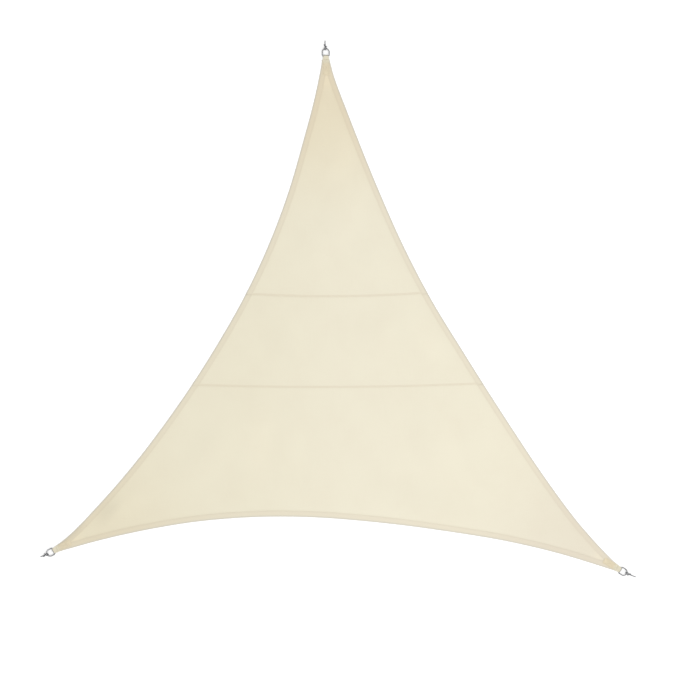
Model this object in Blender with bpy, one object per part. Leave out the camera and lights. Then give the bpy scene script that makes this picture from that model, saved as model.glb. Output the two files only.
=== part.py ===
"""Triangular shade sail of three sewn fabric panels, lying face up on the ground.

Metres, +Z up, +Y towards the top corner. The origin is on the ground under the middle of the
sail. Each corner has a sewn webbing strap, a steel ring in the strap's loop, and a cord tie.
Outwards at a corner means away from the cloth, along the strap.
"""

import math

import bmesh
import bpy
from mathutils import Matrix, Vector
from mathutils.geometry import delaunay_2d_cdt, interpolate_bezier, intersect_line_line_2d

# Shared sizes
GAP = 0.0003             # room left between neighbouring pieces
FABRIC = 0.0012          # one layer of the cloth
CORNER_COLUMNS = ("name", "x", "y", "facing", "tie_turn", "tie_reach", "tie_drift")
CORNERS = (              # middle of each ring, outward direction, and its tie's turn, reach and bend
    ("top", -0.0690, 1.6098, 92.0, 2.5, 0.074, -0.0015),
    ("left", -1.7760, -1.4912, 208.0, -4.0, 0.067, -0.0015),
    ("right", 1.7760, -1.6102, 329.0, 7.0, 0.084, 0.0020),
)

# Cloth outline: how far each edge lies inside the straight line between two ring middles
SAG_COLUMNS = ("share", "left_edge", "right_edge", "bottom_edge")
EDGE_SAG = (
    (0.0115, -0.002, 0.001, 0.004),
    (0.0200, 0.011, 0.010, 0.015),
    (0.0400, 0.035, 0.029, 0.037),
    (0.0600, 0.057, 0.043, 0.060),
    (0.1000, 0.097, 0.066, 0.102),
    (0.1500, 0.140, 0.094, 0.148),
    (0.2500, 0.219, 0.144, 0.221),
    (0.3500, 0.269, 0.181, 0.262),
    (0.4500, 0.290, 0.195, 0.274),
    (0.5500, 0.284, 0.184, 0.260),
    (0.7000, 0.240, 0.158, 0.211),
    (0.8000, 0.187, 0.132, 0.163),
    (0.9000, 0.109, 0.086, 0.089),
    (0.9400, 0.071, 0.055, 0.051),
    (0.9600, 0.048, 0.037, 0.031),
    (0.9800, 0.019, 0.016, 0.011),
    (0.9885, 0.004, 0.003, 0.002),
)
EDGE_COLUMNS = ("name", "start", "end")
EDGES = (
    ("left_edge", "top", "left"),
    ("bottom_edge", "left", "right"),
    ("right_edge", "top", "right"),
)
HEM = 0.036              # folded border along the three edges
TIP_SETBACK = 0.042      # from a ring's middle to the cut tip of the cloth

# Panel seams: the upper panel laps over the lower one, on a line that bows a little
SEAM_COLUMNS = ("name", "height", "middle", "bow")
SEAMS = (
    ("upper_seam", 0.0990, -0.05, 0.060),
    ("lower_seam", -0.4630, -0.10, 0.022),
)
PANEL_COLUMNS = ("name", "above", "below")
PANELS = (
    ("panel_top", None, "upper_seam"),
    ("panel_middle", "upper_seam", "lower_seam"),
    ("panel_bottom", "lower_seam", None),
)
LAP = 0.012
RAMP = 0.030             # over this length the cloth comes down from what it lies on
HEM_STOP = 0.004         # the lower panel's hem fold ends this far short of the lap

# Low swells of the laid cloth; it is flat on the ground everywhere else
SWELL_COLUMNS = ("x", "y", "angle", "half_length", "half_width", "height")
SWELLS = (
    (0.040, 0.640, 68.0, 0.380, 0.170, 0.010),
    (-0.150, 0.380, 105.0, 0.200, 0.130, 0.006),
    (0.240, 0.320, 120.0, 0.230, 0.140, 0.007),
    (-0.330, -0.190, 80.0, 0.220, 0.150, 0.008),
    (0.250, -0.150, 100.0, 0.210, 0.160, 0.007),
    (-0.780, -0.860, 55.0, 0.340, 0.160, 0.010),
    (-0.310, -0.850, 88.0, 0.300, 0.140, 0.007),
    (0.600, -0.800, 110.0, 0.320, 0.180, 0.010),
    (1.020, -1.050, 140.0, 0.300, 0.140, 0.007),
    (-1.280, -1.160, 32.0, 0.260, 0.110, 0.007),
)
SEAM_FLAT = 0.040        # the doubled cloth beside a seam lies flat
SEAM_FREE = 0.160        # and this far away it swells freely

# Curves and mesh of the cloth
CURVE_STEPS = 16         # points that each span of a smooth curve is drawn with
FINE_STEP = 0.003        # spacing on an edge before it is cut to length
EDGE_STEP = 0.060
GRID = 0.065
GRID_CLEARANCE = 0.45    # free space round a grid point, as a share of the grid
ROW_OVERRUN = 0.020      # lines across the cloth start this far outside it
TIP_ROW_HALF_WIDTH = 0.12
SAME_POINT = 0.0005
ON_LINE = 0.000001       # a point this near a line counts as on it
SMOOTH_BELOW = 50.0      # degrees between two faces that are shaded as one

# Steel rings: a straight bar in the strap's loop, two sides and a round bow
WIRE = 0.006
RING_HALF_WIDTH = 0.0215
RING_CORNER = 0.006
RING_BAR = -0.022        # along the outward direction, from the ring's middle
RING_SHOULDER = 0.001    # where the sides turn into the bow
BAR_HEIGHT = 0.00485
BOW_HEIGHT = 0.0087
CORNER_STEPS = 4
BOW_STEPS = 18

# Webbing straps
WEBBING = 0.0015
STRAP_WIDTH = 0.038
STRAP_PINCH = 0.031      # width where the ring draws it together
PINCH_START, PINCH_END = -0.042, -0.026
STRAP_TAIL = 0.098       # sewn length on each face of the cloth
STRAP_TIP = 0.003        # it lies flat this far past the cloth's tip
STRAP_LEAVES = 102       # where the upper layer leaves the bar, in degrees
LOOP_STEPS = 10
TAIL_STEPS = 4

# Cord ties: the same hitch at every ring, then one free end
CORD = 0.005
CORD_STEP = 0.0024
HITCH_COLUMNS = ("out", "side", "up")
HITCH = (
    (0.0515, 0.0056, 0.0027),
    (0.0469, 0.0054, 0.0027),
    (0.0429, 0.0048, 0.0027),
    (0.0393, 0.0033, 0.0027),
    (0.0365, 0.0007, 0.0027),
    (0.0364, -0.0024, 0.0027),
    (0.0349, -0.0057, 0.0032),
    (0.0336, -0.0083, 0.0058),
    (0.0326, -0.0091, 0.0095),
    (0.0318, -0.0071, 0.0128),
    (0.0312, -0.0036, 0.0143),
    (0.0301, 0.0002, 0.0150),
    (0.0283, 0.0037, 0.0155),
    (0.0258, 0.0067, 0.0158),
    (0.0223, 0.0083, 0.0154),
    (0.0187, 0.0081, 0.0146),
    (0.0162, 0.0066, 0.0127),
    (0.0156, 0.0048, 0.0096),
    (0.0159, 0.0023, 0.0067),
    (0.0168, -0.0009, 0.0046),
    (0.0194, -0.0033, 0.0030),
    (0.0230, -0.0041, 0.0027),
    (0.0262, -0.0038, 0.0039),
    (0.0296, -0.0030, 0.0054),
    (0.0328, -0.0019, 0.0071),
    (0.0361, -0.0015, 0.0082),
    (0.0392, -0.0005, 0.0073),
    (0.0426, -0.0003, 0.0060),
    (0.0464, 0.0000, 0.0050),
)
FREE_END_SHARES = (0.35, 0.7, 1.0)
FREE_END_RISE = 0.0027

# Height of the cloth's underside where it lies on something
SEAM_LIFT = FABRIC + GAP
TIP_LIFT = WEBBING + GAP

MATERIAL_COLUMNS = ("name", "color", "roughness", "metallic")
MATERIALS = (
    ("cream_fabric", (0.70, 0.65, 0.52), 0.85, 0.0),
    ("sand_webbing", (0.66, 0.59, 0.45), 0.80, 0.0),
    ("ring_steel", (0.30, 0.30, 0.31), 0.35, 1.0),
    ("grey_cord", (0.13, 0.13, 0.14), 0.75, 0.0),
)


def clear_scene():
    for item in list(bpy.data.objects):
        bpy.data.objects.remove(item)


def rows(columns, table):
    """The table's rows as dicts, by column name."""
    return [dict(zip(columns, row)) for row in table]


def make_material(name, color, roughness, metallic):
    material = bpy.data.materials.new(name)
    material.use_nodes = True
    shader = material.node_tree.nodes["Principled BSDF"]
    shader.inputs["Base Color"].default_value = (*color, 1.0)
    shader.inputs["Roughness"].default_value = roughness
    shader.inputs["Metallic"].default_value = metallic
    return material


def add_object(name, data, material):
    data.materials.append(bpy.data.materials[material])
    item = bpy.data.objects.new(name, data)
    bpy.context.scene.collection.objects.link(item)
    return item


def add_mesh(name, bm, material):
    mesh = bpy.data.meshes.new(name)
    bm.to_mesh(mesh)
    bm.free()
    mesh.shade_smooth()
    mesh.set_sharp_from_angle(angle=math.radians(SMOOTH_BELOW))
    return add_object(name, mesh, material)


# Curves

def spread(points, step):
    """The same line with its points evenly spaced, about a step apart."""
    lengths = [(b - a).length for a, b in zip(points, points[1:])]
    count = max(1, round(sum(lengths) / step))
    pitch = sum(lengths) / count
    spaced = [points[0]]
    walked = 0.0
    for a, b, length in zip(points, points[1:], lengths):
        while len(spaced) < count and pitch * len(spaced) <= walked + length:
            spaced.append(a.lerp(b, (pitch * len(spaced) - walked) / length))
        walked += length
    return spaced + [points[-1]]


def smooth_curve(knots, step):
    """Points about a step apart on a smooth curve through the knots."""
    spans = [b - a for a, b in zip(knots, knots[1:])]
    slopes = [spans[0].normalized()]
    for before, after in zip(spans, spans[1:]):
        slope = before.normalized() * after.length + after.normalized() * before.length
        slopes.append(slope.normalized())
    slopes.append(spans[-1].normalized())
    fine = []
    for index, span in enumerate(spans):
        reach = span.length / 3
        start, end = knots[index], knots[index + 1]
        handle_out = start + slopes[index] * reach
        handle_in = end - slopes[index + 1] * reach
        fine += interpolate_bezier(start, handle_out, handle_in, end, CURVE_STEPS + 1)[:-1]
    return spread(fine + [knots[-1]], step)


def distance_to_line(point, line):
    """The shortest distance in the plane from a point to a polyline."""
    best = math.inf
    for a, b in zip(line, line[1:]):
        along = b - a
        share = max(0.0, min(1.0, (point - a).dot(along) / along.length_squared))
        best = min(best, (point - a - along * share).length)
    return best


def inside(point, outline):
    """True if the point lies in the closed outline."""
    found = False
    for a, b in zip(outline, outline[1:] + outline[:1]):
        if (a.y > point.y) != (b.y > point.y):
            if point.x < a.x + (point.y - a.y) * (b.x - a.x) / (b.y - a.y):
                found = not found
    return found


def trim_where_they_meet(first, second):
    """Two lines that cross near first's end and second's start, cut back to that crossing."""
    for i in range(len(first) - 2, -1, -1):
        for j in range(len(second) - 1):
            crossing = intersect_line_line_2d(first[i], first[i + 1], second[j], second[j + 1])
            if crossing:
                return first[:i + 1] + [crossing], [crossing] + second[j + 1:]
    return first, second


# Places at a corner

class Corner:
    def __init__(self, row):
        self.name = row["name"]
        self.middle = Vector((row["x"], row["y"]))
        angle = math.radians(row["facing"])
        self.outward = Vector((math.cos(angle), math.sin(angle)))
        self.sideways = Vector((-self.outward.y, self.outward.x))
        self.tie_turn = math.radians(row["tie_turn"])
        self.tie_reach = row["tie_reach"]
        self.tie_drift = row["tie_drift"]

    def place(self, out, side, up):
        """A point given outwards, sideways and upwards from the ring's middle on the ground."""
        return (self.middle + self.outward * out + self.sideways * side).to_3d() + Vector((0, 0, up))

    def setback(self, point):
        """How far a point in the plane lies inwards of the ring's middle."""
        return (self.middle - point).dot(self.outward)

    def cross_row(self, setback, half_width):
        """A straight line across the corner, square to the strap."""
        middle = self.middle - self.outward * setback
        return [middle - self.sideways * half_width, middle + self.sideways * half_width]


# The cloth's lines in the plane

def edge_line(name, start, end, middle):
    """One hollow edge of the sail, from near one ring to near the next."""
    chord = end - start
    inward = Vector((-chord.y, chord.x)).normalized()
    if inward.dot(middle - start) < 0:
        inward.negate()
    knots = [start + chord * row["share"] + inward * row[name] for row in rows(SAG_COLUMNS, EDGE_SAG)]
    return smooth_curve(knots, FINE_STEP), inward


def cut_at_tips(line, corners):
    """The line's part that lies further in than the cut tips of the cloth."""
    kept = [p for p in line if all(c.setback(p) > TIP_SETBACK for c in corners)]
    return spread(kept, EDGE_STEP)


def inner_line(line, inward):
    """The line moved inwards by the hem's width."""
    moved = []
    for index, point in enumerate(line):
        along = line[min(index + 1, len(line) - 1)] - line[max(index - 1, 0)]
        normal = Vector((-along.y, along.x)).normalized()
        if normal.dot(inward) < 0:
            normal.negate()
        moved.append(point + normal * HEM)
    return moved


def sail_lines(corners):
    """The closed outline of the cloth and the closed inner line of its hem."""
    middle = sum((c.middle for c in corners.values()), Vector((0, 0))) / len(corners)
    outer, inner = {}, {}
    for edge in rows(EDGE_COLUMNS, EDGES):
        name, start, end = edge["name"], corners[edge["start"]], corners[edge["end"]]
        line, inward = edge_line(name, start.middle, end.middle, middle)
        outer[name] = cut_at_tips(line, (start, end))
        inner[name] = inner_line(outer[name], inward)
    outline = outer["left_edge"] + outer["bottom_edge"] + outer["right_edge"][::-1]
    left, bottom = trim_where_they_meet(inner["left_edge"], inner["bottom_edge"])
    bottom, right = trim_where_they_meet(bottom, inner["right_edge"][::-1])
    right, left = trim_where_they_meet(right, left)
    return outline, left + bottom[1:] + right[1:-1]


def seam_height(seam, x):
    return seam["height"] + seam["bow"] * (x - seam["middle"]) ** 2


def seam_row(seam, offset, outline):
    """A line beside a seam, from just outside one edge of the sail to just outside the other."""
    crossings = []
    for a, b in zip(outline, outline[1:] + outline[:1]):
        below_a = a.y - seam_height(seam, a.x) - offset
        below_b = b.y - seam_height(seam, b.x) - offset
        if below_a * below_b < 0:
            crossings.append(a.lerp(b, below_a / (below_a - below_b)).x)
    low, high = min(crossings) - ROW_OVERRUN, max(crossings) + ROW_OVERRUN
    count = round((high - low) / EDGE_STEP)
    xs = [low + (high - low) * step / count for step in range(count + 1)]
    return [Vector((x, seam_height(seam, x) + offset)) for x in xs]


# Heights of the cloth

def fade(value, start, end):
    """1 up to start, 0 from end on, and straight between them."""
    return max(0.0, min(1.0, (end - value) / (end - start)))


def swell_height(point):
    """The height of the low swells at a point. They fade out beside a seam."""
    height = 0.0
    for swell in rows(SWELL_COLUMNS, SWELLS):
        angle = math.radians(swell["angle"])
        offset = point - Vector((swell["x"], swell["y"]))
        along = offset.x * math.cos(angle) + offset.y * math.sin(angle)
        across = offset.y * math.cos(angle) - offset.x * math.sin(angle)
        reach = math.hypot(along / swell["half_length"], across / swell["half_width"])
        if reach < 1:
            height += swell["height"] * (1 + math.cos(math.pi * reach)) / 2
    for seam in rows(SEAM_COLUMNS, SEAMS):
        height *= 1 - fade(abs(point.y - seam_height(seam, point.x)), SEAM_FLAT, SEAM_FREE)
    return height


def rest_height(point, below, corners):
    """The height of a panel's underside: on the ground, on the next panel or on a strap."""
    height = swell_height(point)
    if below:
        above_seam = point.y - seam_height(below, point.x)
        height += SEAM_LIFT * fade(above_seam, LAP / 2, LAP / 2 + RAMP)
    for corner in corners.values():
        strap_end = TIP_SETBACK + STRAP_TAIL
        height += TIP_LIFT * fade(corner.setback(point), strap_end, strap_end + RAMP)
    return height


# Pieces

def grid_points(outline, lines):
    """Staggered points that fill the cloth, clear of the lines that already have points."""
    left, right = min(p.x for p in outline), max(p.x for p in outline)
    bottom, top = min(p.y for p in outline), max(p.y for p in outline)
    row_pitch = GRID * math.sqrt(3) / 2
    points = []
    for row in range(math.ceil((top - bottom) / row_pitch)):
        for column in range(math.ceil((right - left) / GRID)):
            point = Vector((left + GRID * (column + row % 2 / 2), bottom + row_pitch * row))
            if inside(point, outline):
                if min(distance_to_line(point, line) for line in lines) > GRID * GRID_CLEARANCE:
                    points.append(point)
    return points


def triangulate(lines, points):
    """Triangles between all the points, with the lines kept as edges."""
    coords, edges = [], []
    for line in lines:
        edges += [(len(coords) + i, len(coords) + i + 1) for i in range(len(line) - 1)]
        coords += line
    coords += points
    found = delaunay_2d_cdt(coords, edges, [], 0, ON_LINE)
    return found[0], found[2]


def panel_rows(above, below, outline, corners):
    """The lines across a panel where its edge, its hem or its height changes."""
    lines = []
    if above:
        for offset in (LAP / 2, -LAP / 2, -LAP / 2 - HEM_STOP):
            lines.append(seam_row(above, offset, outline))
    if below:
        for offset in (-LAP / 2, LAP / 2, LAP / 2 + RAMP):
            lines.append(seam_row(below, offset, outline))
    strap_end = TIP_SETBACK + STRAP_TAIL
    for corner in corners.values():
        lines.append(corner.cross_row(strap_end, TIP_ROW_HALF_WIDTH))
        lines.append(corner.cross_row(strap_end + RAMP, TIP_ROW_HALF_WIDTH))
    return lines


def between_seams(point, above, below, above_offset, below_offset):
    """True if the point lies under one seam and over the other, each moved by its offset."""
    if above and point.y > seam_height(above, point.x) + above_offset:
        return False
    return not below or point.y > seam_height(below, point.x) + below_offset


def raise_layer(bm, faces, keep_below):
    """A fabric layer on the faces, sewn to them at its border. Its own faces are returned."""
    made = bmesh.ops.extrude_face_region(bm, geom=faces, use_keep_orig=keep_below)["geom"]
    if not keep_below:
        bmesh.ops.delete(bm, geom=faces, context="FACES")
    new_verts = [item for item in made if isinstance(item, bmesh.types.BMVert)]
    bmesh.ops.translate(bm, verts=new_verts, vec=(0, 0, FABRIC))
    return [item for item in made if isinstance(item, bmesh.types.BMFace)]


def add_panel(name, above, below, outline, hem_line, corners):
    """One fabric panel: a sheet with a second layer on its face where the hem is folded."""
    lines = [outline + outline[:1], hem_line + hem_line[:1]]
    lines += panel_rows(above, below, outline, corners)
    coords, triangles = triangulate(lines, grid_points(outline, lines))
    bm = bmesh.new()
    verts = [bm.verts.new(co.to_3d()) for co in coords]
    for triangle in triangles:
        middle = sum((coords[i] for i in triangle), Vector((0, 0))) / 3
        if inside(middle, outline) and between_seams(middle, above, below, LAP / 2, -LAP / 2):
            bm.faces.new([verts[i] for i in triangle])
    bmesh.ops.delete(bm, geom=[v for v in bm.verts if not v.link_faces], context="VERTS")
    bmesh.ops.remove_doubles(bm, verts=bm.verts, dist=SAME_POINT)
    hem_faces = []
    for face in raise_layer(bm, bm.faces[:], True):
        middle = face.calc_center_median().to_2d()
        if not inside(middle, hem_line):
            if between_seams(middle, above, below, -LAP / 2 - HEM_STOP, -LAP / 2):
                hem_faces.append(face)
    raise_layer(bm, hem_faces, False)
    for vert in bm.verts:
        vert.co.z += rest_height(vert.co.to_2d(), below, corners)
    bmesh.ops.recalc_face_normals(bm, faces=bm.faces)
    return add_mesh(name, bm, "cream_fabric")


def add_wire(name, path, thickness, sides_setting, material, closed):
    """A round wire or cord along a path: a curve with a round bevel, capped where it is open."""
    curve = bpy.data.curves.new(name, "CURVE")
    curve.dimensions = "3D"
    curve.bevel_depth = thickness / 2
    curve.bevel_resolution = sides_setting
    curve.use_fill_caps = not closed
    spline = curve.splines.new("POLY")
    spline.points.add(len(path) - 1)
    for point, co in zip(spline.points, path):
        point.co = (*co, 1.0)
    spline.use_cyclic_u = closed
    spline.use_smooth = True
    return add_object(name, curve, material)


def arc(middle, radius, start, end, steps):
    """Points on an arc in the plane, with its angles in degrees."""
    angles = [math.radians(start + (end - start) * step / steps) for step in range(steps + 1)]
    return [(middle[0] + radius * math.cos(a), middle[1] + radius * math.sin(a)) for a in angles]


def add_ring(corner):
    """A D-shaped ring of round wire. Its bar lies in the strap's loop and its bow on the tie."""
    corner_out = RING_BAR + RING_CORNER
    corner_side = RING_HALF_WIDTH - RING_CORNER
    path = arc((corner_out, corner_side), RING_CORNER, 180, 90, CORNER_STEPS)
    path += arc((RING_SHOULDER, 0), RING_HALF_WIDTH, 90, -90, BOW_STEPS)
    path += arc((corner_out, -corner_side), RING_CORNER, 270, 180, CORNER_STEPS)
    bow = RING_SHOULDER + RING_HALF_WIDTH
    slope = (BOW_HEIGHT - BAR_HEIGHT) / (bow - RING_BAR)
    points = [corner.place(out, side, BAR_HEIGHT + slope * (out - RING_BAR)) for out, side in path]
    return add_wire("ring_" + corner.name, points, WIRE, 3, "ring_steel", True)


def strap_profile():
    """The strap's middle line from its upper tail round the ring's bar to its lower tail: out, up."""
    turn = WIRE / 2 + GAP + WEBBING / 2
    tail_end = -TIP_SETBACK - STRAP_TAIL
    on_cloth = TIP_LIFT + 2 * FABRIC + GAP + WEBBING / 2
    tail_step = STRAP_TAIL / TAIL_STEPS
    upper = [(tail_end + tail_step * step, on_cloth) for step in range(TAIL_STEPS + 1)]
    upper.append((STRAP_TIP - TIP_SETBACK, on_cloth))
    loop = arc((RING_BAR, BAR_HEIGHT), turn, STRAP_LEAVES, -90, LOOP_STEPS)
    upper.append(((upper[-1][0] + loop[0][0]) / 2, (upper[-1][1] + loop[0][1]) / 2))
    lower = [(-TIP_SETBACK - tail_step * step, WEBBING / 2) for step in range(TAIL_STEPS + 1)]
    return upper + loop + lower


def add_strap(corner):
    """One length of webbing, folded round the ring's bar and laid on both faces of the cloth's tip."""
    bm = bmesh.new()
    ribs = []
    for out, up in strap_profile():
        spread_out = fade(out, PINCH_START, PINCH_END)
        half = (STRAP_PINCH + (STRAP_WIDTH - STRAP_PINCH) * spread_out) / 2
        ribs.append([bm.verts.new(corner.place(out, side, up)) for side in (-half, half)])
    for rib, following in zip(ribs, ribs[1:]):
        bm.faces.new((rib[0], rib[1], following[1], following[0]))
    strap = add_mesh("strap_" + corner.name, bm, "sand_webbing")
    solidify = strap.modifiers.new("webbing thickness", "SOLIDIFY")
    solidify.thickness = WEBBING
    solidify.offset = 0.0
    solidify.use_even_offset = True
    return strap


def add_tie(corner):
    """A cord hitched round the ring's bow, with a short end and a free end that point outwards.

    The whole tie is turned about the middle of the bow.
    """
    hitch = [(row["out"], row["side"], row["up"]) for row in rows(HITCH_COLUMNS, HITCH)]
    last_out = hitch[-1][0]
    free_end = []
    for share in FREE_END_SHARES:
        out = last_out + (corner.tie_reach - last_out) * share
        free_end.append((out, corner.tie_drift * share ** 2, FREE_END_RISE))
    knots = []
    for out, side, up in hitch + free_end:
        arm = Vector((out - RING_SHOULDER, side))
        arm.rotate(Matrix.Rotation(corner.tie_turn, 2))
        knots.append(corner.place(RING_SHOULDER + arm.x, arm.y, up))
    return add_wire("tie_" + corner.name, smooth_curve(knots, CORD_STEP), CORD, 2, "grey_cord", False)


def main():
    clear_scene()
    for row in rows(MATERIAL_COLUMNS, MATERIALS):
        make_material(**row)
    corners = {row["name"]: Corner(row) for row in rows(CORNER_COLUMNS, CORNERS)}
    seams = {row["name"]: row for row in rows(SEAM_COLUMNS, SEAMS)}
    outline, hem_line = sail_lines(corners)
    for row in rows(PANEL_COLUMNS, PANELS):
        above, below = seams.get(row["above"]), seams.get(row["below"])
        add_panel(row["name"], above, below, outline, hem_line, corners)
    for corner in corners.values():
        add_strap(corner)
        add_ring(corner)
        add_tie(corner)


main()
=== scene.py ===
import math
from itertools import combinations

import bpy
import numpy as np
from mathutils import Matrix, Vector, noise
from mathutils.bvhtree import BVHTree
from mathutils.geometry import interpolate_bezier


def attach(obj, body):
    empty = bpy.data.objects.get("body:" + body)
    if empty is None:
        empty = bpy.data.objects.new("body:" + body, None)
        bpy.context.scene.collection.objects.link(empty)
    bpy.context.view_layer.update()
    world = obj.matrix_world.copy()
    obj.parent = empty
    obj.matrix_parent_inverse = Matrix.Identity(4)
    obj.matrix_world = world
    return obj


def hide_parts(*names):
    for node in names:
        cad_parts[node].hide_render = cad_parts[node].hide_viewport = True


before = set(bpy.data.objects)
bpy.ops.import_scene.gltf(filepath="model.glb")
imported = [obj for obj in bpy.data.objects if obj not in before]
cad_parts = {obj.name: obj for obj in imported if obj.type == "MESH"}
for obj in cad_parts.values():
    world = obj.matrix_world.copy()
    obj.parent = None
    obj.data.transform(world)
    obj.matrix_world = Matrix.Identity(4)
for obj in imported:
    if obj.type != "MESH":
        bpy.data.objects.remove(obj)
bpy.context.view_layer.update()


# Camera. It looks straight down on the laid sail, from so high that the view has almost no
# perspective, and frames it as the photograph does.
PHOTO_PIXELS = 681
PIXEL = 0.0062                      # metres of floor under one pixel
PICTURE_MIDDLE = (0.0226, -0.1765)  # the floor point in the middle of the picture
CAMERA_HEIGHT = 12.0

bpy.ops.object.select_all(action="DESELECT")
bpy.ops.object.camera_add(location=(*PICTURE_MIDDLE, CAMERA_HEIGHT))
camera = bpy.context.object
camera.data.lens = camera.data.sensor_width * CAMERA_HEIGHT / (PHOTO_PIXELS * PIXEL)
bpy.context.scene.camera = camera


# Corner ties. Each is a short length of dark grey braided polyester cord, hitched round the
# bow of a ring. Its short end lies beside the hitch, and its free end points away from the sail.
CORD = 0.005
BRAID_STRANDS = 8       # in each direction
BRAID_LAY = 0.018       # length of cord in which a strand goes round once
BRAID_RELIEF = 0.00032
CORD_SIDES = 32
CORD_STEP = 0.0005
END_RADIUS = 0.0013     # the cut end is melted to a blunt, rounded tip
END_TAPER = 0.75        # which is slimmer than the cord by this share
# Name, middle of the ring, outward direction, and its tie's turn, reach and bend
CORNER_ROWS = (
    ("top", -0.0690, 1.6098, 92.0, 2.5, 0.074, -0.0015),
    ("left", -1.7760, -1.4912, 208.0, -4.0, 0.067, -0.0015),
    ("right", 1.7760, -1.6102, 329.0, 7.0, 0.084, 0.0020),
)
RING_SHOULDER = 0.001   # where the ring's straight sides turn into its bow
HITCH = (               # outwards, sideways and upwards from the ring's middle on the ground
    (0.0515, 0.0056, 0.0027), (0.0469, 0.0054, 0.0027), (0.0429, 0.0048, 0.0027),
    (0.0393, 0.0033, 0.0027), (0.0365, 0.0007, 0.0027), (0.0364, -0.0024, 0.0027),
    (0.0349, -0.0057, 0.0032), (0.0336, -0.0083, 0.0058), (0.0326, -0.0091, 0.0095),
    (0.0318, -0.0071, 0.0128), (0.0312, -0.0036, 0.0143), (0.0301, 0.0002, 0.0150),
    (0.0283, 0.0037, 0.0155), (0.0258, 0.0067, 0.0158), (0.0223, 0.0083, 0.0154),
    (0.0187, 0.0081, 0.0146), (0.0162, 0.0066, 0.0127), (0.0156, 0.0048, 0.0096),
    (0.0159, 0.0023, 0.0067), (0.0168, -0.0009, 0.0046), (0.0194, -0.0033, 0.0030),
    (0.0230, -0.0041, 0.0027), (0.0262, -0.0038, 0.0039), (0.0296, -0.0030, 0.0054),
    (0.0328, -0.0019, 0.0071), (0.0361, -0.0015, 0.0082), (0.0392, -0.0005, 0.0073),
    (0.0426, -0.0003, 0.0060), (0.0464, 0.0000, 0.0050),
)
FREE_END_SHARES = (0.35, 0.7, 1.0)
FREE_END_RISE = 0.0027
# CORD_LIGHT also serves as the painted highlight on the braid's crowns.
CORD_GREY = (0.066, 0.067, 0.070)
CORD_LIGHT = (0.145, 0.148, 0.156)


class Corner:
    """A corner of the sail: its ring's middle on the ground, and the outward direction there."""

    def __init__(self, name, x, y, facing, tie_turn, tie_reach, tie_drift):
        angle = math.radians(facing)
        self.name = name
        self.turn = Matrix.Translation((x, y, 0)) @ Matrix.Rotation(angle, 4, "Z")
        self.middle = np.array((x, y))
        self.outward = np.array((math.cos(angle), math.sin(angle)))
        self.sideways = np.array((-self.outward[1], self.outward[0]))
        self.tie_turn = Matrix.Rotation(math.radians(tie_turn), 2)
        self.tie_reach = tie_reach
        self.tie_drift = tie_drift

    def place(self, out, side, up):
        """A point given outwards, sideways and upwards from the ring's middle on the ground."""
        return self.turn @ Vector((out, side, up))

    def setback(self, points):
        """How far points in the plane lie inwards of the ring's middle."""
        return (self.middle - points) @ self.outward

    def offset(self, points):
        """How far points in the plane lie to the side of the strap's middle line."""
        return (points - self.middle) @ self.sideways


corners = {row[0]: Corner(*row) for row in CORNER_ROWS}


def step_lengths(line):
    """The length of each step of a line, from point to point."""
    return np.linalg.norm(np.diff(line, axis=0), axis=1)


def walked_along(steps):
    """How far along a line each of its points lies, from the lengths of its steps."""
    return np.concatenate(((0,), np.cumsum(steps)))


def points_on(line, walked, places):
    """Points of a line at some places, when its own points lie at the places walked."""
    return np.stack([np.interp(places, walked, column) for column in line.T], axis=1)


def spread(points, step):
    """The same line with its points evenly spaced, about a step apart."""
    points = np.array(points)
    walked = walked_along(step_lengths(points))
    places = np.linspace(0, walked[-1], max(1, round(walked[-1] / step)) + 1)
    return points_on(points, walked, places)


def smooth_curve(knots, step, span_points=17):
    """Points about a step apart on a smooth curve through the knots."""
    spans = [b - a for a, b in zip(knots, knots[1:])]
    slopes = [spans[0].normalized()]
    for before, after in zip(spans, spans[1:]):
        slope = before.normalized() * after.length + after.normalized() * before.length
        slopes.append(slope.normalized())
    slopes.append(spans[-1].normalized())
    fine = []
    for index, span in enumerate(spans):
        reach = span.length / 3
        start, end = knots[index], knots[index + 1]
        handle_out = start + slopes[index] * reach
        handle_in = end - slopes[index + 1] * reach
        fine += interpolate_bezier(start, handle_out, handle_in, end, span_points)[:-1]
    return spread(fine + [knots[-1]], step)


def unit(vectors):
    return vectors / np.linalg.norm(vectors, axis=-1, keepdims=True)


def grid_faces(rows, columns, first=0, closed=False):
    """The four corners of every face of a grid of points, whose rows may close on themselves."""
    faces = []
    for row in range(rows - 1):
        for column in range(columns if closed else columns - 1):
            after = (column + 1) % columns
            near, far = first + row * columns, first + (row + 1) * columns
            faces.append((near + column, far + column, far + after, near + after))
    return faces


def new_piece(name, points, faces, uv_name, uv_points):
    """A mesh object from points and faces, with one UV value for each point."""
    mesh = bpy.data.meshes.new(name)
    mesh.from_pydata(points.tolist(), [], faces)
    layer = mesh.uv_layers.new(name=uv_name)
    corner_points = np.empty(len(mesh.loops), dtype=np.int32)
    mesh.loops.foreach_get("vertex_index", corner_points)
    layer.data.foreach_set("uv", np.asarray(uv_points, dtype=np.float32)[corner_points].ravel())
    piece = bpy.data.objects.new(name, mesh)
    bpy.context.scene.collection.objects.link(piece)
    return piece


def store(piece, name, values, kind="FLOAT", field="value"):
    """Stores a value at every point of the piece, which its material reads."""
    layer = piece.data.attributes.new(name, kind, "POINT")
    layer.data.foreach_set(field, values.ravel())


def take_up(piece):
    """Makes the piece the only selected object, and the active one."""
    bpy.ops.object.select_all(action="DESELECT")
    bpy.context.view_layer.objects.active = piece
    piece.select_set(True)


def edit_all(piece):
    """Opens the piece alone in edit mode, with all of it selected."""
    take_up(piece)
    bpy.ops.object.mode_set(mode="EDIT")
    bpy.ops.mesh.select_all(action="SELECT")


def face_outwards(piece):
    edit_all(piece)
    bpy.ops.mesh.normals_make_consistent(inside=False)
    bpy.ops.object.mode_set(mode="OBJECT")


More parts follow.
